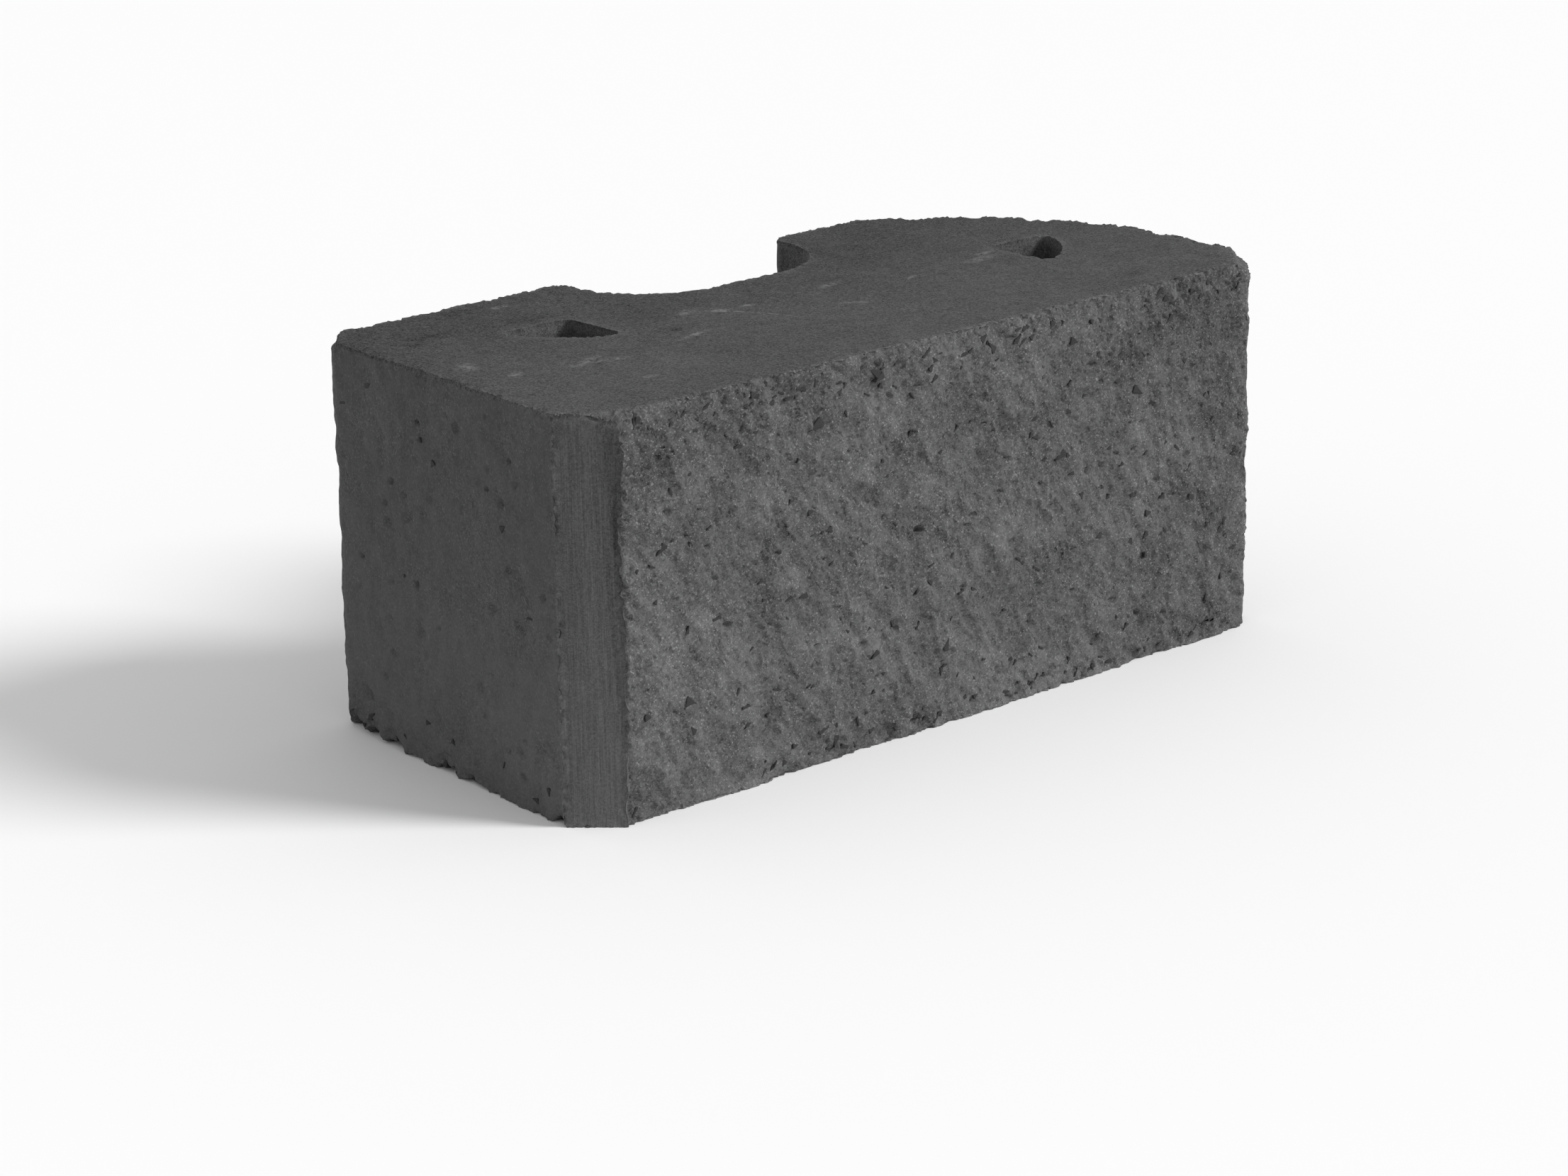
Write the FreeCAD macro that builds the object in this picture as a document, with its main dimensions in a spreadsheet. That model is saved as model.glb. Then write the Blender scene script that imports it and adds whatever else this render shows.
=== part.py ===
import FreeCAD, Part
import math
import os

import Sketcher

# A solid dry-cast concrete corner block for a garden retaining wall. Its long front face and its
# short left end are split faces, with a smooth moulded chamfer between them. The top and bottom
# are flat beds. Two fan-shaped pockets in the top take the connecting pins of the next course,
# and a wide scoop in the rear makes a hand hold and a space for drainage stone.
#
# All sizes are millimetres. The block is drawn from its front left corner, x along the front,
# y from the front to the rear, z up. The body is then placed so that the middle of its
# bounding box, at the bottom, is the origin.

doc = FreeCAD.newDocument("corner_block")

# ---------------------------------------------------------------- driving sizes

SIZES = [
    ("overall_length", 470, "left end to right end"),
    ("overall_depth", 220, "front split face to rear face"),
    ("overall_height", 200, "one wall course"),
    ("left_chamfer", 23, "smooth strip between the two split faces, along each face"),
    ("right_chamfer", 17, "corner where the front meets the right end"),
    ("left_end_taper", 15, "how far the left end has come in at the rear"),
    ("rear_corner_radius", 14, "rear left corner"),
    ("shoulder_along_end", 116, "what the rear right shoulder takes off the right end"),
    ("shoulder_along_rear", 89, "what the rear right shoulder takes off the rear face"),
    ("shoulder_radius", 180, "the shoulder's own curve"),
    ("scoop_width", 144, "rear scoop, side to side"),
    ("scoop_depth", 62, "rear scoop, in from the rear face"),
    ("scoop_offset", 8, "middle of the scoop, right of the middle of the block"),
    ("scoop_corner_radius", 50, "inside corners of the scoop"),
    ("left_mouth_radius", 3, "edge where the scoop opens, left"),
    ("right_mouth_radius", 10, "edge where the scoop opens, right"),
    ("scoop_flat", 1, "least straight wall left beside a rounded corner of the scoop"),
    ("pocket_length", 42, "pin pocket, along the block"),
    ("pocket_width", 44, "pin pocket, front to rear"),
    ("pocket_front_radius", 62, "bowed front side of the pocket"),
    ("pocket_corner_radius", 5, "upright corners of the pocket"),
    ("pocket_depth", 60, "down from the top bed"),
    ("left_pocket_from_end", 124, "left end to the left pocket's square corner"),
    ("left_pocket_from_front", 159, "front face to the left pocket's rear side"),
    ("right_pocket_from_end", 88, "right end to the right pocket's square corner"),
    ("right_pocket_from_front", 121, "front face to the right pocket's rear side"),
]

sheet = doc.addObject("Spreadsheet::Sheet", "Sizes")
for row, (alias, value, note) in enumerate(SIZES, start=1):
    sheet.set(f"A{row}", note)
    sheet.set(f"B{row}", str(value))
    sheet.setAlias(f"B{row}", alias)
doc.recompute()

body = doc.addObject("PartDesign::Body", "Block")
body.Label = "corner_block"
body.setExpression(".Placement.Base.x", "-Sizes.overall_length / 2")
body.setExpression(".Placement.Base.y", "-Sizes.overall_depth / 2")

# ---------------------------------------------------------------- helpers

SKETCH_ORIGIN = (-1, 1)  # the sketch's own origin, as a geometry number and a point on it
START, END = 1, 2  # the two ends of a line or an arc
UPRIGHT = 0.999  # an edge whose direction has at least this much z stands up


def value_of(expression):
    """What an expression gives with the sheet's present sizes."""
    return float(body.evalExpression(expression))


def place_of(corner):
    """The point in plan that a pair of x and y expressions gives."""
    return FreeCAD.Vector(value_of(corner[0]), value_of(corner[1]), 0)


def bowed_side(start, end, radius):
    """The arc from start to end that bows out to the right of that direction."""
    chord = end - start
    inward = FreeCAD.Vector(-chord.y, chord.x, 0).normalize()
    centre = (start + end) / 2 + inward * math.sqrt(radius**2 - (chord.Length / 2) ** 2)
    return Part.Arc(start, centre - inward * radius, end)


def profile(name, height, corners, bows):
    """A sketch parallel to the ground, with one closed outline drawn anticlockwise.

    height is an expression, and each corner is a pair of x and y expressions. bows gives a
    radius expression for each bowed side, by the number of the corner where the side starts.
    Constraints keep every corner and every radius bound to its expression.
    """
    sketch = body.newObject("Sketcher::SketchObject", name)
    ground = next(plane for plane in body.Origin.OriginFeatures if plane.Role == "XY_Plane")
    sketch.AttachmentSupport = (ground, [""])
    sketch.MapMode = "FlatFace"
    sketch.setExpression(".AttachmentOffset.Base.z", height)

    def bind(expression, kind, *where):
        number = sketch.addConstraint(Sketcher.Constraint(kind, *where, value_of(expression)))
        sketch.setExpression(f"Constraints[{number}]", expression)

    points = [place_of(corner) for corner in corners]
    for side, start in enumerate(points):
        end = points[(side + 1) % len(points)]
        if side in bows:
            sketch.addGeometry(bowed_side(start, end, value_of(bows[side])))
        else:
            sketch.addGeometry(Part.LineSegment(start, end))
    for side, (x, y) in enumerate(corners):
        following = (side + 1) % len(corners)
        sketch.addConstraint(Sketcher.Constraint("Coincident", side, END, following, START))
        bind(x, "DistanceX", *SKETCH_ORIGIN, side, START)
        bind(y, "DistanceY", *SKETCH_ORIGIN, side, START)
    for side, radius in bows.items():
        bind(radius, "Radius", side)
    doc.recompute()
    return sketch


def cut_down(name, sketch, depth=None):
    """Cuts a sketch down into the block, to a depth expression or right through it."""
    before = body.Shape.Volume
    cut = body.newObject("PartDesign::Pocket", name)
    cut.Profile = sketch
    if depth:
        cut.setExpression("Length", depth)
    else:
        cut.Type = "ThroughAll"
    doc.recompute()
    print(f"{name} takes away {(before - body.Shape.Volume) / 1000:.0f} cm3")


def round_upright(name, corner, radius):
    """Fillets the upright edge at a corner, given as a pair of x and y expressions."""
    base = body.Tip
    place = place_of(corner)
    upright = {}
    for number, edge in enumerate(base.Shape.Edges, start=1):
        if abs(edge.tangentAt(edge.FirstParameter).z) > UPRIGHT:
            away = math.hypot(edge.CenterOfMass.x - place.x, edge.CenterOfMass.y - place.y)
            upright[away] = f"Edge{number}"
    fillet = body.newObject("PartDesign::Fillet", name)
    fillet.Base = (base, [upright[min(upright)]])
    fillet.setExpression("Radius", radius)
    doc.recompute()


# ---------------------------------------------------------------- the block in plan

REAR = "Sizes.overall_depth"
RIGHT = "Sizes.overall_length"
TOP = "Sizes.overall_height"
SHOULDER = 3  # the side that starts at the fourth corner

outline = profile(
    "Outline",
    "0",
    [
        ("Sizes.left_chamfer", "0"),
        (f"{RIGHT} - Sizes.right_chamfer", "0"),
        (RIGHT, "Sizes.right_chamfer"),
        (RIGHT, f"{REAR} - Sizes.shoulder_along_end"),
        (f"{RIGHT} - Sizes.shoulder_along_rear", REAR),
        ("Sizes.left_end_taper", REAR),
        ("0", "Sizes.left_chamfer"),
    ],
    {SHOULDER: "Sizes.shoulder_radius"},
)
block = body.newObject("PartDesign::Pad", "Casting")
block.Profile = outline
block.setExpression("Length", TOP)
doc.recompute()
round_upright("RearCorner", ("Sizes.left_end_taper", REAR), "Sizes.rear_corner_radius")

# ---------------------------------------------------------------- rear scoop

SCOOP_LEFT = f"{RIGHT} / 2 + Sizes.scoop_offset - Sizes.scoop_width / 2"
SCOOP_RIGHT = f"{RIGHT} / 2 + Sizes.scoop_offset + Sizes.scoop_width / 2"
SCOOP_BACK = f"{REAR} - Sizes.scoop_depth"
BEYOND_REAR = f"{REAR} + Sizes.scoop_depth"  # the cut runs clear of the rear face

scoop = profile(
    "ScoopOutline",
    TOP,
    [
        (SCOOP_LEFT, SCOOP_BACK),
        (SCOOP_RIGHT, SCOOP_BACK),
        (SCOOP_RIGHT, BEYOND_REAR),
        (SCOOP_LEFT, BEYOND_REAR),
    ],
    {},
)
cut_down("Scoop", scoop)

# The inside corners are as round as the depth and the width of the scoop leave room for.
inside_radius = (
    "min(Sizes.scoop_corner_radius;"
    " Sizes.scoop_depth - Sizes.right_mouth_radius - Sizes.scoop_flat;"
    " Sizes.scoop_width / 2 - Sizes.scoop_flat)"
)
round_upright("ScoopCornerLeft", (SCOOP_LEFT, SCOOP_BACK), inside_radius)
round_upright("ScoopCornerRight", (SCOOP_RIGHT, SCOOP_BACK), inside_radius)
round_upright("ScoopMouthLeft", (SCOOP_LEFT, REAR), "Sizes.left_mouth_radius")
round_upright("ScoopMouthRight", (SCOOP_RIGHT, REAR), "Sizes.right_mouth_radius")

# ---------------------------------------------------------------- pin pockets
TO_THE_LEFT, TO_THE_RIGHT = -1, 1


def pin_pocket(name, x, y, outwards):
    """A fan-shaped pocket in the top bed.

    Its square corner is at x, y, its rear side runs outwards, to the left or to the right, and
    its inner side runs to the front. A bowed side joins the two.
    """
    square = (x, y)
    outer = (f"{x} + {outwards} * Sizes.pocket_length", y)
    front = (x, f"{y} - Sizes.pocket_width")
    anticlockwise = [square, front, outer] if outwards == TO_THE_RIGHT else [square, outer, front]
    bowed = 1  # the side between the second corner and the third
    sketch = profile(f"{name}Outline", TOP, anticlockwise, {bowed: "Sizes.pocket_front_radius"})
    cut_down(name, sketch, "Sizes.pocket_depth")
    for number, corner in enumerate((square, outer, front), start=1):
        round_upright(f"{name}Corner{number}", corner, "Sizes.pocket_corner_radius")


pin_pocket(
    "LeftPocket",
    "Sizes.left_pocket_from_end",
    "Sizes.left_pocket_from_front",
    TO_THE_LEFT,
)
pin_pocket(
    "RightPocket",
    f"{RIGHT} - Sizes.right_pocket_from_end",
    "Sizes.right_pocket_from_front",
    TO_THE_RIGHT,
)

# ---------------------------------------------------------------- checks and output

doc.recompute()
failed = [item.Name for item in doc.Objects if "Invalid" in item.State or "Error" in item.State]
if failed:
    raise RuntimeError(f"failed features: {failed}")
shape = body.Shape
if shape.isNull() or not shape.isValid() or len(shape.Solids) != 1:
    raise RuntimeError("the block is not one valid solid")

box = shape.BoundBox
print(f"{body.Label}: {box.XLength:.1f} x {box.YLength:.1f} x {box.ZLength:.1f} mm")
print(f"x {box.XMin:.1f} to {box.XMax:.1f}, y {box.YMin:.1f} to {box.YMax:.1f}, z from {box.ZMin:.1f}")
print(f"volume {shape.Volume / 1e6:.3f} litres")

os.makedirs("parts", exist_ok=True)
shape.exportStep(f"parts/{body.Label}.step")
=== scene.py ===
# %% [markdown]
# # A split-face corner block in charcoal concrete
#
# The block is one lump of dry-cast concrete: two rough split faces, a smooth strip between
# them, a flat top with two pin pockets, and a wide scoop in the rear. This lesson makes its
# looks around a finished solid: relief, worn edges, stone chips, colour, light and camera.
# The solid gives every size, so nothing has to be fitted by eye.

# %% The frame
import math

import bpy
import numpy as np
from mathutils import Matrix, Vector, kdtree


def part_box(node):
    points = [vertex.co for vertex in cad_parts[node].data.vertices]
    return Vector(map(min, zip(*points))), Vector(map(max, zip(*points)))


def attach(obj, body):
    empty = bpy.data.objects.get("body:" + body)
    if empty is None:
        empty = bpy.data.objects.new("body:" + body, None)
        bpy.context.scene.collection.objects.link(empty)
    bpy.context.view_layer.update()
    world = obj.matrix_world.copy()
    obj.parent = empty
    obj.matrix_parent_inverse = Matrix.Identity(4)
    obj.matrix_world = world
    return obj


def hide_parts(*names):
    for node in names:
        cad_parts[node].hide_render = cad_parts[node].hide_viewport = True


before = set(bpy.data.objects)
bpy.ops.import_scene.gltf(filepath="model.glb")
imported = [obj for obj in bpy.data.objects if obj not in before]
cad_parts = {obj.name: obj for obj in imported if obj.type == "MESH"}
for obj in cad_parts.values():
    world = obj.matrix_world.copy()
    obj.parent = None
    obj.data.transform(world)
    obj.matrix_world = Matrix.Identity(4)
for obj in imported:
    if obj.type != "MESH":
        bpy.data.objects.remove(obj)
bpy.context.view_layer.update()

MM = 0.001  # one millimetre in metres, the scene's unit
LOW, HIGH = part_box("corner_block")
print("the solid runs from", LOW, "to", HIGH)

# %% [markdown]
# ## Camera
#
# The camera looks at the corner where the two split faces meet, from a little above, through
# a long lens. It could be aimed by a constraint, but a camera placed by its own three axes
# needs nothing else in the scene and can be given a slight roll as well.

# %% Camera
CAMERA_PLACE = Vector((-1.3947, -1.5145, 0.6866))
CAMERA_TARGET = Vector((-0.1236, -0.1211, 0.1))
CAMERA_ROLL = math.radians(-0.94)
CAMERA_LENS = 96.2  # millimetres, on a sensor 36 mm wide

lens = bpy.data.cameras.new("camera")
lens.lens = CAMERA_LENS
lens.sensor_width = 36
camera = bpy.data.objects.new("camera", lens)
bpy.context.scene.collection.objects.link(camera)
facing = (CAMERA_TARGET - CAMERA_PLACE).to_track_quat("-Z", "Y").to_matrix().to_4x4()
camera.matrix_world = (
    Matrix.Translation(CAMERA_PLACE) @ facing @ Matrix.Rotation(CAMERA_ROLL, 4, "Z")
)
bpy.context.scene.camera = camera
print("the camera stands", round((CAMERA_TARGET - CAMERA_PLACE).length, 2), "m away")

# %% [markdown]
# ## Shader maths
#
# A material is a graph of nodes. Adding them one by one hides the idea, so this class wraps
# a socket and lets it be used in sums like a number. Every other kind of node comes from its
# one method, which takes the settings first and then the values or links of the sockets.

# %% Shader maths
class Value:
    """A socket of a material, which can be used in sums like a number."""

    def __init__(self, tree, socket):
        self.tree, self.socket = tree, socket

    def node(self, kind, settings, inputs, output=0):
        """Any node: its type, its settings, its sockets' values or links, and what it gives."""
        made = self.tree.nodes.new("ShaderNode" + kind)
        for name, setting in settings.items():
            setattr(made, name, setting)
        for name, given in inputs.items():
            if isinstance(given, Value):
                self.tree.links.new(given.socket, made.inputs[name])
            else:
                made.inputs[name].default_value = given
        return Value(self.tree, made.outputs[output])

    def sum(self, operation, one, other):
        return self.node("Math", {"operation": operation}, {0: one, 1: other})

    def __add__(self, other):
        return self.sum("ADD", self, other)

    def __sub__(self, other):
        return self.sum("SUBTRACT", self, other)

    def __rsub__(self, other):
        return self.sum("SUBTRACT", other, self)

    def __mul__(self, other):
        return self.sum("MULTIPLY", self, other)

    __radd__ = __add__
    __rmul__ = __mul__


def ramp(value, low, high):
    """0 where the value is low, 1 where it is high, and a smooth step between."""
    settings = {"interpolation_type": "SMOOTHSTEP"}
    return value.node("MapRange", settings, {"Value": value, "From Min": low, "From Max": high})


def grain(place, size, detail=3.0, rough=0.55):
    """Cloudy noise, from 0 to 1, whose blotches are about this size in metres."""
    inputs = {"Vector": place, "Scale": 1 / size, "Detail": detail, "Roughness": rough}
    return place.node("TexNoise", {}, inputs)


def drawn_out(place, angles, stretch):
    """The place as seen along axes turned by angles in degrees, where patterns are stretched."""
    settings = {"vector_type": "TEXTURE"}
    turn = [math.radians(angle) for angle in angles]
    return place.node("Mapping", settings, {"Vector": place, "Rotation": turn, "Scale": stretch})


def part_of(place, axis):
    """One coordinate of a place: 0, 1 or 2 for X, Y or Z."""
    return place.node("SeparateXYZ", {}, {0: place}, output=axis)


def new_material(name):
    """An empty material, with its surface shader and the place on the object."""
    material = bpy.data.materials.new(name)
    material.use_nodes = True
    tree = material.node_tree
    surface = tree.nodes["Principled BSDF"]
    place = Value(tree, tree.nodes.new("ShaderNodeTexCoord").outputs["Object"])
    return material, surface, place


def feed(surface, name, value):
    """Links a value to one of the surface shader's sockets."""
    value.tree.links.new(value.socket, surface.inputs[name])


print("the shader helpers are ready")

# %% [markdown]
# ## The casting: a fine skin of small faces
#
# A split face is far too rough for bump alone: its edges are ragged against the background.
# The relief could be sculpted by hand, but a copy of the solid, remeshed into faces of one
# millimetre, can be pushed in by displacement modifiers and gives the same result each time.
# Everything is pushed inwards, so the block never grows past its true size.

# %% A merged copy of the solid
bpy.ops.object.select_all(action="DESELECT")
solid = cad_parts["corner_block"]
casting = bpy.data.objects.new("corner_block_casting", solid.data.copy())
bpy.context.scene.collection.objects.link(casting)
bpy.context.view_layer.objects.active = casting
casting.select_set(True)
bpy.ops.object.mode_set(mode="EDIT")
bpy.ops.mesh.select_all(action="SELECT")
bpy.ops.mesh.remove_doubles(threshold=0.01 * MM)
bpy.ops.mesh.dissolve_limited(angle_limit=math.radians(1))


def break_corner(x, y, z, direction, depth):
    """Cuts a corner off with a plane, this deep below the corner itself. All in millimetres."""
    direction = Vector(direction).normalized()
    plane = Vector((x, y, z)) * MM - direction * depth * MM
    bpy.ops.mesh.select_all(action="SELECT")
    bpy.ops.mesh.bisect(plane_co=plane, plane_no=direction, use_fill=True, clear_outer=True)


broken_corners = [
    # the front corners of the top bed, on the left and on the right
    (-212, -110, 200, (-0.33, -0.58, 0.74), 3.6),
    (-212, -110, 200, (-0.10, -0.84, 0.54), 3.0),
    (226.5, -101.5, 200, (0.5, -0.45, 0.74), 5.0),
    (218, -110, 200, (0.2, -0.75, 0.6), 3.0),
    # the upright corner at the rear left, which wear has made rounder than the solid's own
    (-220, 110, 100, (-0.68, 0.73, 0), 7.9),
    (-220, 110, 100, (-0.9, 0.435, 0), 5.9),
    (-220, 110, 100, (-0.365, 0.93, 0), 5.9),
    # its foot and its top
    (-220, 110, 0, (-0.6, 0.5, -0.62), 7.4),
    (-220, 110, 200, (-0.6, 0.5, 0.62), 8.6),
]
for corner in broken_corners:
    break_corner(*corner)

# Only real arrises are marked: the flat edges inside a face stay unselected.
bpy.ops.mesh.select_mode(type="EDGE")
bpy.ops.mesh.select_all(action="DESELECT")
bpy.ops.mesh.edges_select_sharp(sharpness=math.radians(30))
bpy.ops.object.mode_set(mode="OBJECT")
print("the merged copy has", len(casting.data.vertices), "vertices")

# %% Points along every arris
arris_points = []
for edge in casting.data.edges:
    if edge.select:
        one, other = (casting.data.vertices[corner].co for corner in edge.vertices)
        steps = max(1, round((other - one).length / MM))
        arris_points += [one.lerp(other, step / steps) for step in range(steps + 1)]
arrises = kdtree.KDTree(len(arris_points))
for number, point in enumerate(arris_points):
    arrises.insert(point, number)
arrises.balance()
print("points along the arrises:", len(arris_points))


# %% Remeshing
def apply_modifier(kind, name, **settings):
    """Adds a modifier to the casting, sets it up and applies it."""
    modifier = casting.modifiers.new(name, kind)
    for setting, value in settings.items():
        setattr(modifier, setting, value)
    bpy.ops.object.modifier_apply(modifier=name)


SKIN_FACE = 1.0 * MM
apply_modifier("REMESH", "skin", mode="VOXEL", voxel_size=SKIN_FACE)
print("the skin has", len(casting.data.vertices), "vertices")

# %% [markdown]
# ## Which part of the skin is which
#
# The front and the left end were split, the strip between them was moulded, and so was all
# the rest. Each vertex is told apart by its place, as one would select it by hand, and every
# modifier then acts through a vertex group. The skin just behind a split face moves with it,
# less and less with depth, so that the top and bottom beds end at the ragged edge.

# %% Places
FRONT, REAR, LEFT, RIGHT, TOP = LOW.y, HIGH.y, LOW.x, HIGH.x, HIGH.z
STRIP = 23 * MM  # the moulded strip takes this much off each split face
TAPER = 15 * MM  # the left end has come in this much at the rear
LEFT_LENGTH = REAR - FRONT - STRIP


def places_of(mesh):
    """The place of every vertex, one row each."""
    values = np.zeros(len(mesh.vertices) * 3, np.float32)
    mesh.vertices.foreach_get("co", values)
    return values.reshape(-1, 3).astype(float)


def rise(values, low, high):
    """0 at low and under, 1 at high and over, and a straight slope between."""
    return np.clip((values - low) / (high - low), 0, 1)


def behind_front(x, y):
    return y - FRONT


def behind_left(x, y):
    return x - LEFT - TAPER * (y - FRONT - STRIP) / LEFT_LENGTH


def across_strip(x, y):
    """-1 at the strip's left side, 1 at its right side."""
    return ((x - LEFT) - (y - FRONT)) / STRIP


draw = np.random.default_rng(7)  # every random choice comes from here, so each run is alike

# The strip's sides are a little ragged, the left one more and more towards the top.
RAGGED_AT = np.arange(-10, 211, 5) * MM
RAGGED_LEFT = draw.uniform(0, 0.22, len(RAGGED_AT)) * np.linspace(0.25, 2.0, len(RAGGED_AT))
RAGGED_RIGHT = draw.uniform(-0.05, 0.07, len(RAGGED_AT))


def parts_of_skin(places, depth):
    """How much each vertex is part of the front, of the left end and of the strip.

    The front and the left end reach this deep behind their faces, less and less.
    """
    x, y, z = places.T
    across = across_strip(x, y)
    across -= np.where(across < 0, np.interp(z, RAGGED_AT, RAGGED_LEFT), 0)
    across += np.where(across > 0, np.interp(z, RAGGED_AT, RAGGED_RIGHT), 0)
    front = rise(-behind_front(x, y), -depth, 0) * rise(across, 0.93, 1.05)
    left = rise(-behind_left(x, y), -depth, 0) * rise(-across, 0.93, 1.05)
    near_strip = rise(-((x - LEFT) + (y - FRONT) - STRIP), -4 * MM, -2 * MM)
    strip = near_strip * rise(-np.abs(across), -1.05, -0.93)
    return front, left, strip


# Remeshing leaves faint steps on a slanting face, so the strip is put back in its plane.
places = places_of(casting.data)
x, y, z = places.T
over = ((x - LEFT) + (y - FRONT) - STRIP) / 2
on_strip = (np.abs(over) < 0.8 * MM) & (np.abs(across_strip(x, y)) < 1)
places[on_strip, 0] -= over[on_strip]
places[on_strip, 1] -= over[on_strip]
casting.data.vertices.foreach_set("co", places.astype(np.float32).ravel())
away = np.array([arrises.find(place)[2] for place in places])
print("the furthest place from an arris is", round(away.max() / MM), "mm away")


# %% Vertex groups
def set_group(name, weights, levels=60):
    """A vertex group, whose weights are rounded to a few levels to be quick."""
    group = casting.vertex_groups.new(name=name)
    rounded = np.round(np.clip(weights, 0, 1) * levels).astype(int)
    for level in range(1, levels + 1):
        chosen = np.nonzero(rounded == level)[0].tolist()
        if chosen:
            group.add(chosen, level / levels, "REPLACE")


x, y, z = places.T
front, left, strip = parts_of_skin(places, 14 * MM)
set_group("front", front)
set_group("left", left)
front_skin, left_skin, strip_skin = parts_of_skin(places, 2.5 * MM)
split_skin = np.maximum(front_skin, left_skin * 0.5)
set_group("split_skin", split_skin)
set_group("moulded", 1 - np.maximum(split_skin, strip_skin * 0.7))

# The strip lies a little lower than the split faces beside it, but not at its very top.
below_top = rise(-z, -TOP + 5 * MM, -TOP + 16 * MM)
hollow = 0.3 + 0.7 * rise(across_strip(x, y), -0.2, 0.9)
set_group("strip_hollow", strip * hollow * below_top * rise(z, 1 * MM, 9 * MM))

# Some arrises are far more worn than others: 0 is as good as new, and 1 is worn away.
front_corner = np.hypot(x - LEFT - STRIP, y - FRONT)
right_corner = np.hypot(x - RIGHT, y - FRONT - 8 * MM)
high = rise(z, TOP - 14 * MM, TOP - 2 * MM)
amount = np.full(len(x), 0.24)
amount += 0.1 * rise(x, 125 * MM, 160 * MM) * rise(y, -30 * MM, 10 * MM) * high
amount += 0.2 * high * rise(-front_corner, -16 * MM, -4 * MM)
amount += 0.3 * high * rise(-right_corner, -20 * MM, -6 * MM)
amount += 0.1 * high * rise(-x, 215 * MM, 220 * MM)
amount -= 0.08 * rise(y, 80 * MM, 100 * MM) * rise(-x, 0, 100 * MM)
amount -= 0.08 * rise(-y, 80 * MM, 100 * MM) * rise(-z, -12 * MM, 0)
pocket_rim = (np.abs(y - 10 * MM) < 60 * MM) & (np.abs(x) < 190 * MM)
amount = np.where(pocket_rim, 0.12, amount)
set_group("arris", rise(-away, -6 * MM, 0) * np.clip(amount, 0, 1))
print("vertex groups:", [group.name for group in casting.vertex_groups])

# %% [markdown]
# ## Relief
#
# The relief of a split face has several sizes at once: slow waves, slanting lumps a
# centimetre wide, small knobs and sand. Each gets a displacement modifier of its own with a
# cloud texture. The textures are seen through empties, which turn them, stretch them, and
# draw them out endlessly along the direction of the push, so that the skin moves as one.

# %% Relief
ENDLESS = 1000
MIDDLE = 0.38  # the grey of a split face's texture at which its skin stays where it is


def clouds(name, size, depth, hard=False, contrast=1.6):
    """A cloud texture: the size of its blotches, and how many finer layers it has."""
    texture = bpy.data.textures.new(name, "CLOUDS")
    texture.noise_scale = size
    texture.noise_depth = depth
    texture.noise_type = "HARD_NOISE" if hard else "SOFT_NOISE"
    texture.contrast = contrast
    return texture


def pattern_empty(name, angles, stretch):
    """An empty whose turned and stretched axes carry a texture."""
    empty = bpy.data.objects.new(name, None)
    bpy.context.scene.collection.objects.link(empty)
    empty.rotation_euler = [math.radians(angle) for angle in angles]
    empty.scale = stretch
    bpy.context.view_layer.update()
    return empty


def push_in(name, group, depth, texture, way="NORMAL", seen_through=None, level=0.0):
    """Pushes a group of the skin in by up to depth, through a texture."""
    settings = {"texture": texture, "vertex_group": group, "direction": way}
    settings |= {"strength": -depth if way == "NORMAL" else depth, "mid_level": level}
    if seen_through:
        settings |= {"texture_coords": "OBJECT", "texture_coords_object": seen_through}
    apply_modifier("DISPLACE", name, **settings)


through_front = pattern_empty("through_front", (0, 0, 0), (1, ENDLESS, 1))
through_left = pattern_empty("through_left", (0, 0, 0), (ENDLESS, 1, 1))
front_slant = pattern_empty("front_slant", (0, 55, 0), (2.0, ENDLESS, 1))
left_slant = pattern_empty("left_slant", (40, 0, 0), (ENDLESS, 1.8, 1))

seen_upright, seen_slanting = ("Y", through_front, MIDDLE), ("Y", front_slant, MIDDLE)
push_in("front_waves", "front", 3.4 * MM, clouds("front waves", 42 * MM, 1), *seen_slanting)
push_in("front_lumps", "front", 3.8 * MM, clouds("front lumps", 11 * MM, 3), *seen_slanting)
push_in("front_knobs", "front", 1.5 * MM, clouds("front knobs", 4 * MM, 2), *seen_upright)

seen_upright, seen_slanting = ("X", through_left, MIDDLE), ("X", left_slant, MIDDLE)
push_in("left_waves", "left", 2.2 * MM, clouds("left waves", 45 * MM, 1), *seen_upright)
push_in("left_lumps", "left", 2.2 * MM, clouds("left lumps", 13 * MM, 2), *seen_slanting)
push_in("left_knobs", "left", 0.6 * MM, clouds("left knobs", 4.5 * MM, 2), *seen_upright)

push_in("strip_hollow", "strip_hollow", 4.4 * MM, clouds("strip hollow", 30 * MM, 1, contrast=0.4))
push_in("sand", "split_skin", 0.9 * MM, clouds("sand", 1.7 * MM, 1))
push_in("unevenness", "moulded", 0.45 * MM, clouds("unevenness", 7 * MM, 3))
push_in("arris_wear", "arris", 9.0 * MM, clouds("arris wear", 5 * MM, 3, hard=True, contrast=1.5))
for empty in (through_front, through_left, front_slant, left_slant):
    bpy.data.objects.remove(empty)
print("the relief is on")

# %% [markdown]
# ## Bites and plucked-out stones
#
# When a block is split and handled, small bites break from its edges and some stones come
# out of the split faces and leave pits. Each is one push of the skin: a place, a size and a
# direction. Proportional editing would do the same by hand, only far more slowly.

# %% Bites and pits
places = places_of(casting.data)


def dent(centre, radii, push):
    """Pushes the skin near a place, fully in the middle, with a steep side."""
    near = np.nonzero(np.all(np.abs(places - centre) < max(radii), axis=1))[0]
    reach = np.sum(((places[near] - centre) / radii) ** 2, axis=1)
    places[near] += np.clip(1.5 * (1 - reach), 0, 1)[:, None] * np.array(push)


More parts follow.
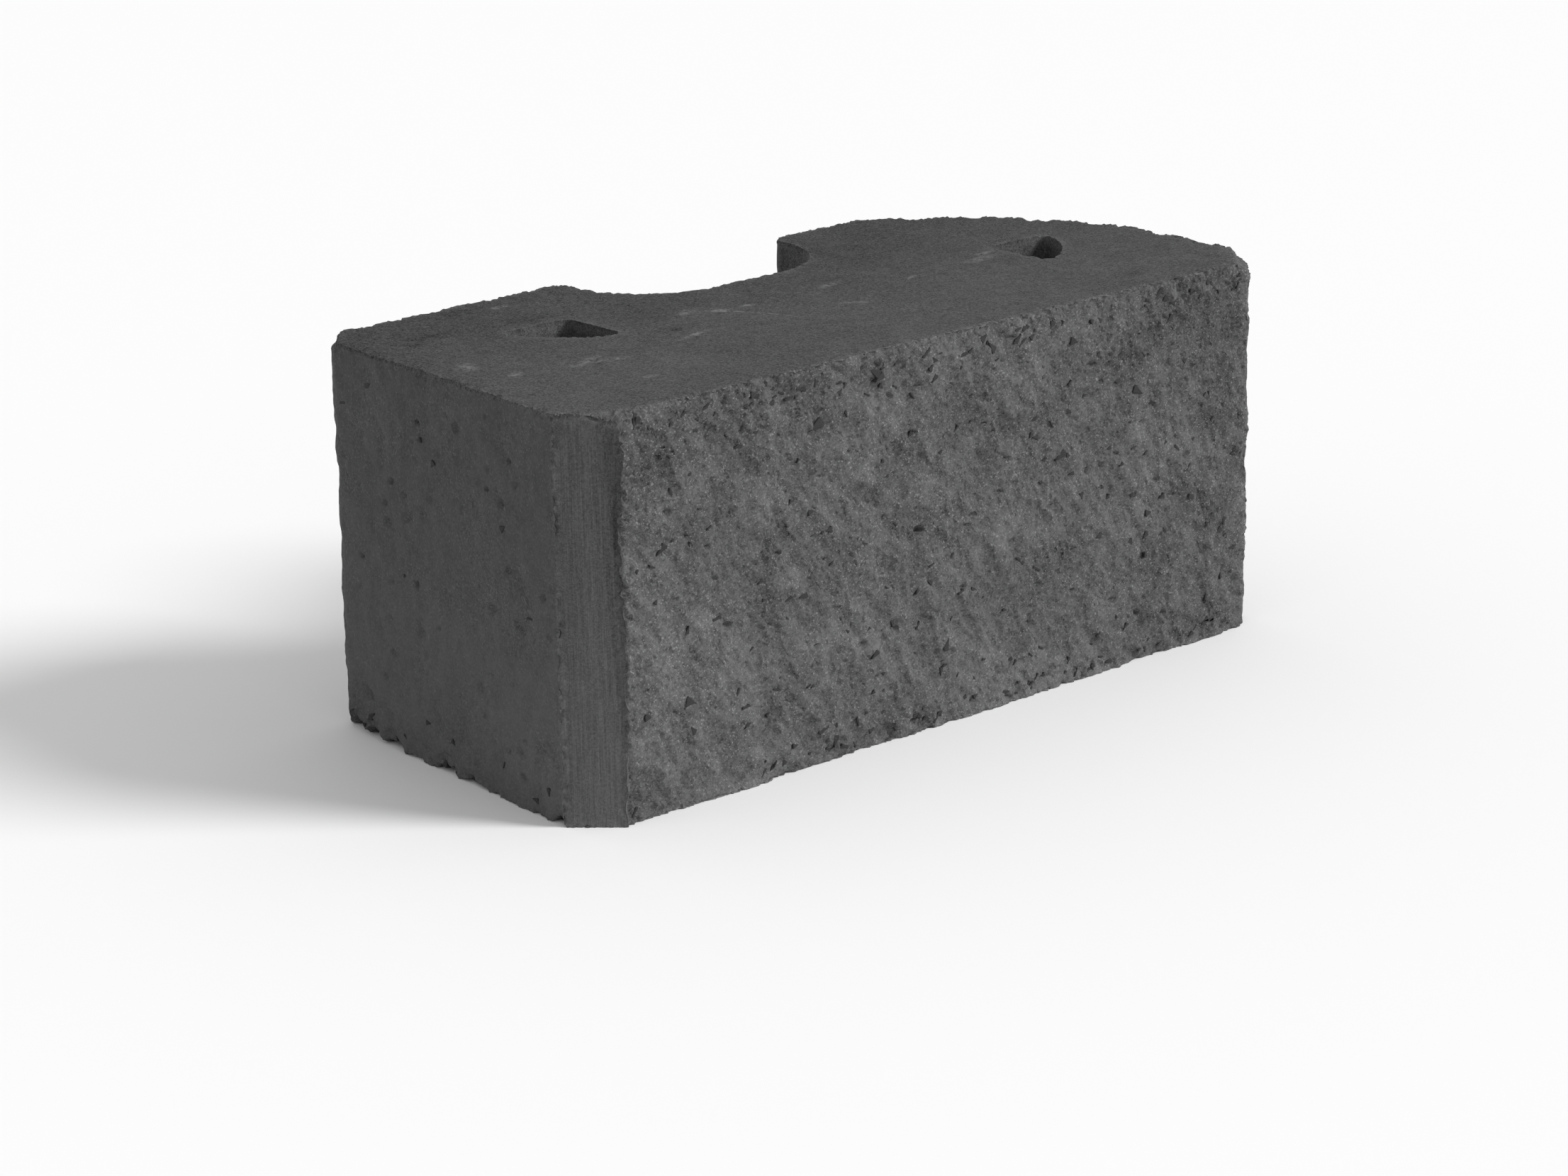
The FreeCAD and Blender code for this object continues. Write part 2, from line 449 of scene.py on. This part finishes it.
FRONT_PITS, LEFT_PITS = 90, 60
for number in range(FRONT_PITS):
    size = draw.uniform(1.6, 4.2) * MM
    flat = draw.uniform(0.35, 0.8)
    spot = (draw.uniform(LEFT + STRIP + 4 * MM, RIGHT - 12 * MM), FRONT, draw.uniform(0, TOP))
    dent(spot, (size, 9 * MM, size * flat), (0, draw.uniform(0.8, 2.0) * MM, 0))
for number in range(LEFT_PITS):
    size = draw.uniform(1.6, 4.5) * MM
    spot_y = draw.uniform(FRONT + STRIP + 4 * MM, REAR - 12 * MM)
    spot = (LEFT + TAPER * (spot_y - FRONT) / LEFT_LENGTH, spot_y, draw.uniform(0, TOP))
    dent(spot, (9 * MM, size, size * 0.8), (draw.uniform(0.8, 2.0) * MM, 0, 0))

# Bites from the left end's lower arris: how far from the front, how long, how deep.
for along, length, deep in (
    (204, 10, 5.5), (187, 9, 4.5), (168, 11, 3.0), (148, 8, 1.0), (121, 9, 3.2), (98, 12, 1.2),
    (27, 5, 3.0),
):
    spot = (LEFT + TAPER * (along * MM - STRIP) / LEFT_LENGTH, FRONT + along * MM, 0)
    dent(spot, (11 * MM, length * MM, 11 * MM), (deep * 0.3 * MM, 0, deep * MM))

# Bites from the upper arris of the shoulder and of the rear: where, how long, how deep.
for bite_x, bite_y, length, deep in (
    (230, 12, 6, 2.5), (216, 40, 9, 2.0), (196, 70, 5, 3.0), (172, 92, 8, 2.0),
    (235, -30, 6, 2.0), (235, -62, 10, 2.2),
):
    spot = (bite_x * MM, bite_y * MM, TOP)
    push = [-share * deep * MM for share in (0.7, 0.5, 0.3)]
    dent(spot, (length * MM, length * MM, 10 * MM), push)
for bite_x, length, deep in (
    (-214, 5, 2.6), (-190, 7, 1.0), (-171, 4, 1.3), (-148, 6, 0.8), (-110, 5, 1.2), (-84, 5, 0.9),
):
    dent((bite_x * MM, REAR, TOP), (length * MM, 8 * MM, 8 * MM), (0, -deep * MM, -deep * 0.3 * MM))

casting.data.vertices.foreach_set("co", places.astype(np.float32).ravel())
casting.data.update()
print("bites and pits are made")

# %% [markdown]
# ## A lighter skin, and masks for the colours
#
# The skin has a million triangles, and the flat beds don't need them, so a decimate modifier
# thins them out and keeps them where the relief is. Parts that stand too far forward are then
# eased back behind the solid's own faces. Last, masks are kept on the vertices: the colours
# need them to tell split, moulded and worn skin apart.

# %% Fewer faces where the skin is flat
MOST_TRIANGLES = 190_000
MARGIN = 0.02 * MM  # how far inside the solid's box the looks stay
triangles = sum(len(face.vertices) - 2 for face in casting.data.polygons)
for group in list(casting.vertex_groups):
    casting.vertex_groups.remove(group)
apply_modifier("DECIMATE", "thin_out", ratio=MOST_TRIANGLES / triangles)


def ease(distance, soft=0.7 * MM):
    """Distances behind a face, where those that are too small are eased back behind it."""
    return np.where(distance < soft, soft * np.exp(np.minimum(distance / soft - 1, 0)), distance)


places = places_of(casting.data)
x, y, z = places.T
on_front = rise(across_strip(x, y), 0.9, 1.0)
places[:, 1] += (ease(behind_front(x, y)) - behind_front(x, y)) * on_front
on_left = rise(-across_strip(x, y), 0.6, 0.7)
places[:, 0] += (ease(behind_left(x, y)) - behind_left(x, y)) * on_left
places = np.clip(places, np.array(LOW) + MARGIN, np.array(HIGH) - MARGIN)
places[:, 2] = np.where(places[:, 2] < 2 * MARGIN, LOW.z, places[:, 2])
casting.data.vertices.foreach_set("co", places.astype(np.float32).ravel())
SHARPEST_SMOOTH = math.radians(50)
bpy.ops.object.shade_smooth_by_angle(angle=SHARPEST_SMOOTH)
print("triangles:", triangles, "thinned to", len(casting.data.polygons))

# %% Masks for the colours
def set_mask(name, values):
    """Keeps one number per vertex, which a material can read by this name."""
    attribute = casting.data.attributes.new(name, "FLOAT", "POINT")
    attribute.data.foreach_set("value", values.astype(np.float32))


places = places_of(casting.data)
away = np.array([arrises.find(place)[2] for place in places])
front, left, strip = parts_of_skin(places, 7 * MM)
x, y, z = places.T

# What lies between the strip and the split faces beside it counts as strip.
corner_zone = (x < LEFT + STRIP + 1 * MM) & (y < FRONT + STRIP + 1 * MM)
strip = np.maximum(strip, corner_zone * (1 - np.maximum(front, left)))
not_bed = rise(-z, -TOP + 1.5 * MM, -TOP + 3 * MM)
near_front = rise(-behind_front(x, y), -5 * MM, -3 * MM)
set_mask("split", np.maximum(front, left) * np.maximum(not_bed, near_front))
set_mask("left_end", left)
set_mask("strip", strip * not_bed)
set_mask("worn", rise(-away, -5 * MM, -1.5 * MM))

# Inside the pockets, below the bed and above their floors, whose walls get painted light.
beside_scoop = (np.abs(x) > 95 * MM) & (np.abs(x) < 190 * MM)
pocket = beside_scoop * (y > -10 * MM) * (y < 60 * MM)
set_mask("pocket", pocket * rise(-z, -TOP, -TOP + 2 * MM) * (z > TOP - 65 * MM))
print("the colours have their masks")

# %% [markdown]
# ## Exposed stones
#
# The concrete is full of crushed dark stone, and where it was split some stones show as
# small flat chips with sharp outlines. They could be scattered as particles, but here each
# is set by a ray from outside, so that every stone meets the rough skin. Three stones are
# modelled once, each a short cylinder cut flat by planes and bevelled, and then copied.

# %% Three stones
def stone(name, sides, cuts):
    """A flat angular stone about two units across, whose broad face looks to -Y."""
    bpy.ops.object.select_all(action="DESELECT")
    lying = (math.radians(90), 0, 0)
    bpy.ops.mesh.primitive_cylinder_add(vertices=sides, radius=1, depth=0.9, rotation=lying)
    bpy.ops.object.transform_apply(location=False, rotation=True, scale=False)
    bpy.ops.object.mode_set(mode="EDIT")
    for centre, direction in cuts:
        bpy.ops.mesh.select_all(action="SELECT")
        bpy.ops.mesh.bisect(plane_co=centre, plane_no=direction, use_fill=True, clear_outer=True)
    bpy.ops.mesh.select_all(action="SELECT")
    bpy.ops.mesh.bevel(offset=0.07, segments=1, affect="EDGES")
    bpy.ops.object.mode_set(mode="OBJECT")
    made = bpy.context.object
    mesh = made.data
    bpy.data.objects.remove(made)
    mesh.name = name
    return mesh


stones = [
    stone("stone_blade", 5, [((0, 0, 0.22), (0.2, 0, 1)), ((0, 0, -0.2), (-0.15, 0, -1))]),
    stone("stone_wedge", 6, [((0.1, 0, 0.1), (0.5, 0, 0.8)), ((0, 0, -0.28), (0.25, 0.1, -1))]),
    stone("stone_block", 7, [((0, 0, 0.35), (-0.3, 0, 1)), ((0.1, 0, -0.32), (-0.3, 0, -1))]),
]
print("faces of each stone:", [len(mesh.polygons) for mesh in stones])

# %% Stones in the split faces
SUNK = 0.45  # of a stone's size: where its broad face is
PROUD = 0.5 * MM  # how far that face stands out of the skin
TIPPED = 0.2  # radians, at most, out of the face's own plane


def set_stone(origin, ray, turn, size):
    """Beds a stone in the skin, flat side out, where a ray from outside meets it."""
    found, spot, _, _ = casting.ray_cast(origin, ray)
    if not found:
        return None
    spot = spot + Vector(ray) * (SUNK * size - PROUD)
    nod = Matrix.Rotation(draw.uniform(-TIPPED, TIPPED), 4, "X")
    shake = Matrix.Rotation(draw.uniform(-TIPPED, TIPPED), 4, "Z")
    roll = Matrix.Rotation(draw.normal(-0.4, 0.6) + math.pi * draw.integers(2), 4, "Y")
    mesh = stones[draw.integers(len(stones))].copy()
    mesh.transform(Matrix.Translation(spot) @ turn @ nod @ shake @ roll @ Matrix.Scale(size, 4))
    placed = bpy.data.objects.new("placed_stone", mesh)
    bpy.context.scene.collection.objects.link(placed)
    return placed


def stone_size():
    """Half the length of a stone: most are small."""
    usual = draw.choice([1.5, 2.1, 2.8, 3.6, 4.6], p=[0.28, 0.3, 0.24, 0.13, 0.05])
    return usual * draw.uniform(0.85, 1.15) * MM


to_rear, to_right = Vector((0, 1, 0)), Vector((1, 0, 0))
facing_front, facing_left = Matrix.Identity(4), Matrix.Rotation(math.radians(-90), 4, "Z")
heights = list(draw.uniform(4, 190, 170)) + list(draw.uniform(186, 194, 62))
heights += list(draw.uniform(4, 10, 40))
placed = []
for height in heights:
    across = draw.uniform(LEFT + STRIP + 3 * MM, RIGHT - 24 * MM)
    start = Vector((across, FRONT - 50 * MM, height * MM))
    placed.append(set_stone(start, to_rear, facing_front, stone_size()))
heights = list(draw.uniform(4, 190, 8)) + list(draw.uniform(3, 25, 8))
for height in heights:
    along = draw.uniform(FRONT + STRIP + 3 * MM, REAR - 16 * MM)
    start = Vector((LEFT - 50 * MM, along, height * MM))
    placed.append(set_stone(start, to_right, facing_left, stone_size()))
placed = [one for one in placed if one]
bpy.ops.object.select_all(action="DESELECT")
for one in placed:
    one.select_set(True)
bpy.context.view_layer.objects.active = placed[0]
bpy.ops.object.join()
aggregate = bpy.context.object
aggregate.name = "exposed_stones"
for vertex in aggregate.data.vertices:
    vertex.co.x = max(vertex.co.x, LEFT + MARGIN)
    vertex.co.y = max(vertex.co.y, FRONT + MARGIN)
    vertex.co.z = min(max(vertex.co.z, LOW.z), TOP - MARGIN)
print("stones:", len(placed), "with", len(aggregate.data.polygons), "faces")

# %% [markdown]
# ## Charcoal concrete
#
# The colour goes through the whole block, so the finish differs only by how each face was
# made. Split faces show sand grains, glints painted into the colour as bright grains, and
# slanting stains mixed with painted shade of small pits. Moulded faces are finer
# and duller, with scuffs where blocks were dragged over each other, and the strip has
# upright marks from the mould. Masks on the skin say which is where.

# %% Charcoal concrete
concrete, surface, place = new_material("charcoal_concrete")


def mask(name):
    return place.node("Attribute", {"attribute_name": name}, {}, output="Fac")


def grains(place, size):
    """A random level from 0 to 1 for each grain of this size."""
    cells = {"Vector": place, "Scale": 1 / size}
    colour = place.node("TexVoronoi", {}, cells, output="Color")
    return place.node("SeparateColor", {}, {0: colour}, output=0)


split_mask, strip_mask, worn_mask = mask("split"), mask("strip"), mask("worn")
fine_sand = grains(place, 1.0 * MM)
coarse_sand = grains(place, 2.2 * MM)
speckle = grain(place, 3.0 * MM, detail=3.0, rough=0.6)
slanting = drawn_out(place, (0, 57, 0), (2.0, 1, 1))
# Slanting mottling: partly stains in the concrete, partly painted shade of small pits.
stain_and_pit_shade = grain(slanting, 8 * MM, detail=4.0, rough=0.6)
dust = grains(place, 0.65 * MM)
glint = ramp(dust, 0.93, 0.97)
# Small slanting dark spots: partly dark sand, partly painted shade in tiny pits.
dark_grain_and_pit_shade = ramp(grains(slanting, 1.6 * MM), 0.14, 0.06)
print("grains, stains and glints are ready")

# %% [markdown]
# ### Scuffs, smudges and a scratch
#
# Blocks are dragged over each other, which leaves pale scuffs on the top bed, and water leaves
# dark smudges. They could be painted as a picture, but a few placed spots, each broken up by
# noise, need no picture and stay sharp at any distance. The scratch is a piece of a thin ring.

# %% Scuffs on the top bed
on_bed = ramp(part_of(place, 2), TOP - 3 * MM, TOP - 1 * MM)
flat_place = place.node("Mapping", {}, {"Vector": place, "Scale": (1, 1, 0)})


def near(x, y, long, wide, turn):
    """1 at a spot of the bed, fading to 0 at its rim. All in millimetres and degrees."""
    settings = {"vector_type": "TEXTURE"}
    where = {"Vector": flat_place, "Location": (x * MM, y * MM, 0)}
    where |= {"Rotation": (0, 0, math.radians(turn)), "Scale": (long * MM, wide * MM, 1)}
    spot = place.node("Mapping", settings, where)
    distance = place.node("VectorMath", {"operation": "LENGTH"}, {0: spot}, output="Value")
    return ramp(distance, 1.0, 0.1)


# Each spot: where, half its length and width, and its turn.
pale_spots = [
    (-62, 15, 9, 5, 10), (-47, 8, 9, 6, -20), (-30, 5, 7, 4, 0), (28, 8, 12, 5, 15),
    (-207, 8, 12, 8, 60), (-162, -25, 20, 5, 20), (-157, -68, 6, 4, 0), (-150, -30, 16, 4, -10),
    (124, -6, 18, 6, 5), (135, 2, 12, 4, 10), (-90, -22, 18, 3, 15), (70, -10, 7, 3, 20),
    (-200, -20, 9, 4, 30), (10, -28, 14, 3, -40), (-120, 92, 10, 4, 0),
]
dark_spots = [
    (-182, 68, 26, 9, 0), (-142, 98, 15, 7, 0), (-157, -30, 10, 6, 30), (213, -85, 9, 14, 20),
    (153, -85, 16, 10, 0), (-90, -8, 14, 10, 0), (-200, 60, 12, 8, 0),
]
pale = near(*pale_spots[0])
for spot in pale_spots[1:]:
    pale = pale + near(*spot)
dark = near(*dark_spots[0])
for spot in dark_spots[1:]:
    dark = dark + near(*spot)


# One long curved scratch: part of a thin ring, which fades at both ends.
ring = {"Vector": flat_place, "Location": (-128 * MM, -56 * MM, 0), "Scale": (1, 1, 1)}
ring_place = place.node("Mapping", {"vector_type": "TEXTURE"}, ring)
from_middle = place.node("VectorMath", {"operation": "LENGTH"}, {0: ring_place}, output="Value")
beside = place.node("Math", {"operation": "ABSOLUTE"}, {0: from_middle - 101.5 * MM})
scratch = ramp(beside, 1.6 * MM, 0.2 * MM) * ramp(part_of(place, 0), -66 * MM, -50 * MM)
scratch = scratch * ramp(part_of(place, 1), -38 * MM, -16 * MM)

broken = ramp(grain(place, 4 * MM, detail=5.0, rough=0.7), 0.40, 0.58)
scuffs = (pale * broken * 0.080 + scratch * broken * 0.065) * on_bed
smudges = dark * ramp(grain(place, 7 * MM, detail=4.0), 0.35, 0.6) * 0.026 * on_bed
print("spots on the bed:", len(pale_spots) + len(dark_spots))

# %% [markdown]
# ### The tone of each face
#
# Four tones are worked out for every point, and the masks choose between them: the sandy
# split front, the quieter left end, the streaked strip and the fine moulded rest. Slow clouds
# keep large faces from looking flat, and worn arrises show paler grains. Gradients paint
# light and shade: lighter feet where the floor would bounce light, a darker rear of the bed,
# a painted shadow on the strip beside the front, and paler pocket walls.

# %% Tone of each face
left_mask = mask("left_end")
along, back, up = (part_of(place, axis) for axis in range(3))
upright = drawn_out(place, (0, 0, 0), (1, 1, 30))
streaks = grain(upright, 1.2 * MM, detail=3.0, rough=0.7)
cloudy = grain(place, 45 * MM, detail=2.0)
patchy = grain(drawn_out(place, (0, 0, 0), (1, 1, 2)), 8 * MM, detail=3.0, rough=0.6)

# The bed is darker towards the rear: painted shade, where the light falls off.
rear_bed_shade = ramp(back, -60 * MM, 100 * MM) * on_bed * 0.018
moulded_tone = 0.061 + (fine_sand - 0.5) * 0.026 + (dust - 0.5) * 0.056
moulded_tone = moulded_tone + (speckle - 0.5) * 0.024
moulded_tone = moulded_tone + (cloudy - 0.5) * 0.030 + (patchy - 0.5) * 0.026 - rear_bed_shade
# The pocket walls are made paler: painted light on the walls inside the recess.
moulded_tone = moulded_tone + scuffs - smudges + mask("pocket") * 0.016

# Painted shade on the strip: darker towards the front face, whose proud edge would shade it, more
# so higher up, and a little darker all over higher up.
front_edge_shadow = ramp(along - back, LEFT - FRONT, LEFT - FRONT + STRIP) * ramp(up, 0, 150 * MM)
strip_tone = 0.088 + (dust - 0.5) * 0.035 + (streaks - 0.5) * 0.095
strip_tone = strip_tone - front_edge_shadow * 0.022 - ramp(up, 20 * MM, 150 * MM) * 0.017

split_tone = 0.084 + (fine_sand - 0.5) * 0.036 + (dust - 0.5) * 0.040
split_tone = split_tone + (coarse_sand - 0.5) * 0.012 + (speckle - 0.5) * 0.030
split_tone = split_tone + (stain_and_pit_shade - 0.5) * 0.14 + (cloudy - 0.5) * 0.09
# Painted glint: single grains are brightened in the colour, as well as made less rough.
split_tone = split_tone + glint * 0.070 - dark_grain_and_pit_shade * 0.032
# The front is a little darker towards the right, and lighter towards its foot: painted light, as
# bounced from the floor.
split_tone = split_tone - ramp(along, 0, RIGHT) * 0.012 + ramp(up, TOP, 0) * 0.016

left_tone = 0.0625 + (fine_sand - 0.5) * 0.014 + (speckle - 0.5) * 0.014 + (patchy - 0.5) * 0.042
# The left end is lighter towards its foot: painted light, as bounced from the floor.
left_tone = left_tone + ramp(up, 170 * MM, 0) * 0.027
split_tone = split_tone + (left_tone - split_tone) * left_mask
tone = moulded_tone + (split_tone - moulded_tone) * split_mask
tone = tone + (strip_tone - tone) * strip_mask
tone = tone + worn_mask * ramp(speckle, 0.3, 0.55) * (1 - left_mask * 0.7) * 0.022
colour = place.node("CombineColor", {}, {0: tone, 1: tone, 2: tone * 1.012})
feed(surface, "Base Color", colour)
feed(surface, "Roughness", 0.9 - glint * split_mask * 0.35)
surface.inputs["Specular IOR Level"].default_value = 0.25

# %% Fine relief
split_height = grain(place, 1.4 * MM, detail=4.0, rough=0.7) * 0.60
split_height = split_height + grain(slanting, 3.5 * MM, detail=3.0, rough=0.6) * 0.75
split_height = split_height * (1 - left_mask * 0.65)
moulded_height = grain(place, 1.2 * MM, detail=3.0, rough=0.6) * 0.42
strip_height = streaks * 0.35
height = moulded_height + (split_height - moulded_height) * split_mask
height = height + (strip_height - height) * strip_mask
bump = place.node("Bump", {}, {"Strength": 1.0, "Distance": 1.0 * MM, "Height": height})
feed(surface, "Normal", bump)
casting.data.materials.clear()
casting.data.materials.append(concrete)
print("nodes in the concrete:", len(concrete.node_tree.nodes))

# %% [markdown]
# ## Crushed stone
#
# The stones are darker than the cement around them, a little smoother, and broken rather than
# worn, so each has faint grain and a faint bump. One colour would make them look like holes.

# %% Crushed dark stone
crushed, stone_surface, stone_place = new_material("crushed_stone")
stone_tone = 0.020 + grain(stone_place, 1.5 * MM, detail=4.0) * 0.016
stone_parts = {0: stone_tone, 1: stone_tone, 2: stone_tone * 1.03}
feed(stone_surface, "Base Color", stone_place.node("CombineColor", {}, stone_parts))
stone_surface.inputs["Roughness"].default_value = 0.7
stone_surface.inputs["Specular IOR Level"].default_value = 0.2
stone_height = grain(stone_place, 0.6 * MM, detail=2.0)
stone_relief = {"Strength": 0.3, "Distance": 0.3 * MM, "Height": stone_height}
feed(stone_surface, "Normal", stone_place.node("Bump", {}, stone_relief))
aggregate.data.materials.append(crushed)
print("nodes in the stone:", len(crushed.node_tree.nodes))

# %% [markdown]
# ## Floor and light
#
# The block stands on a wide pale floor under an even white sky, with one soft sun from the
# front right that gives the two split faces their different tones. An area lamp would do the
# same near the block, but it would leave the far floor grey, and a sun lights all of it alike.

# %% Floor and light
bpy.ops.object.select_all(action="DESELECT")
bpy.ops.mesh.primitive_plane_add(size=24)
floor = bpy.context.object
floor.name = "floor"
paint, floor_surface, _ = new_material("pale_floor")
PALE = (0.88, 0.88, 0.88, 1)
floor_surface.inputs["Base Color"].default_value = PALE
floor_surface.inputs["Roughness"].default_value = 0.9
floor.data.materials.append(paint)

world = bpy.data.worlds.new("studio")
world.use_nodes = True
sky = world.node_tree.nodes["Background"]
sky.inputs["Color"].default_value = (1, 1, 1, 1)
sky.inputs["Strength"].default_value = 0.62
bpy.context.scene.world = world


def soft_sun(name, direction, softness, strength):
    """A large far light in this direction: softness in degrees, strength in W per square metre."""
    lamp = bpy.data.lights.new(name, "SUN")
    lamp.angle = math.radians(softness)
    lamp.energy = strength
    light = bpy.data.objects.new(name, lamp)
    bpy.context.scene.collection.objects.link(light)
    light.rotation_euler = (-Vector(direction)).to_track_quat("-Z", "Y").to_euler()


soft_sun("key", (0.5, -0.65, 0.57), 20, 2.75)
bpy.context.scene.view_settings.view_transform = "Standard"
print("lights:", [light.name for light in bpy.data.lights])

# %% [markdown]
# ## Riding on the frame
#
# Both pieces are tied to the block's one body and take the place of its plain solid, so they
# go wherever it goes.

# %% Finish
for piece in (casting, aggregate):
    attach(piece, "root")
    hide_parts("corner_block")
